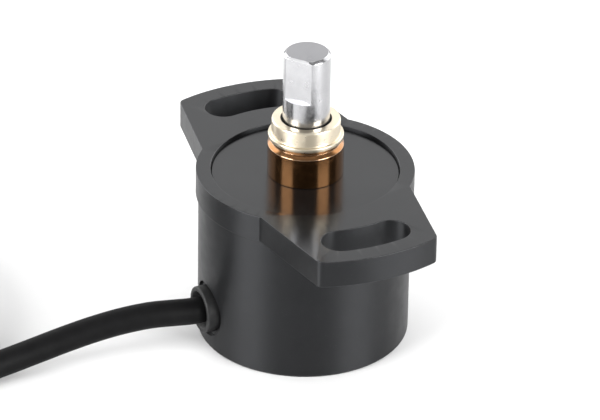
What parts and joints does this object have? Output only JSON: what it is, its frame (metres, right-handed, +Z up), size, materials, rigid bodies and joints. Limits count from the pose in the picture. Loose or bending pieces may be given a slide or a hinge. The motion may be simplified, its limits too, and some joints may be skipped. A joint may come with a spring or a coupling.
{
  "type": "rotary position sensor",
  "caption": "Round sealed rotary sensor with a slotted two-ear flange, a bronze bushed D-ended shaft and a coiled side cable.",
  "frame": {"origin": "centre of the housing's base, on the shaft axis", "axes": "+Z up the shaft towards its D end, +X along the flange ears, -Y towards the cable gland"},
  "size_m": [0.0732, 0.1014, 0.0417],
  "materials": {
    "anodised_black": "satin black anodised, fine turned grain",
    "bronze": "turned bronze, dark with warm highlights",
    "nickel": "pale bright plated steel, slightly warm",
    "stainless": "ground stainless steel",
    "spring_steel": "phosphated spring steel",
    "rubber_black": "matte moulded rubber",
    "brass": "machined brass",
    "ferrite": "sintered magnet",
    "board_green": "solder-masked circuit board",
    "chip_black": "moulded epoxy chip body",
    "ceramic_tan": "sintered ceramic with tinned ends",
    "cable_black": "satin black cable jacket",
    "tie_black": "moulded nylon tie",
    "wire_red": "red wire insulation",
    "wire_black": "black wire insulation",
    "wire_white": "white wire insulation"
  },
  "bodies": {
    "body": {"housing": "anodised_black", "mounting_flange": "anodised_black", "base_cap": "anodised_black", "bearing_bush": "bronze", "seal_case": "nickel", "shaft_seal": "rubber_black", "thrust_washer": "stainless", "wave_washer": "spring_steel", "circuit_board": "board_green", "hall_sensor": "chip_black", "regulator_chip": "chip_black", "surge_diode": "chip_black", "capacitor_input": "ceramic_tan", "capacitor_output": "ceramic_tan", "board_screw_1": "spring_steel", "board_screw_2": "spring_steel", "board_screw_3": "spring_steel", "wire_supply": "wire_red", "wire_signal": "wire_white", "wire_ground": "wire_black", "base_o_ring": "rubber_black", "base_ring": "spring_steel", "cable_gland": "rubber_black", "cable_crimp": "brass", "cable_inner": "cable_black", "cable_lead": "cable_black", "cable_coil": "cable_black", "cable_tail": "cable_black", "cable_tie": "tie_black", "core_red": "wire_red", "core_black": "wire_black", "core_white": "wire_white"},
    "rotor": {"shaft": "stainless", "lower_clip": "spring_steel", "upper_clip": "spring_steel", "magnet_holder": "brass", "magnet": "ferrite", "hub_set_screw": "spring_steel"}
  },
  "joints": [
    {"name": "shaft_spin", "type": "hinge", "parent": "body", "child": "rotor", "pos_m": [0, 0, 0.03], "axis": [0, 0, 1], "continuous": true}
  ]
}
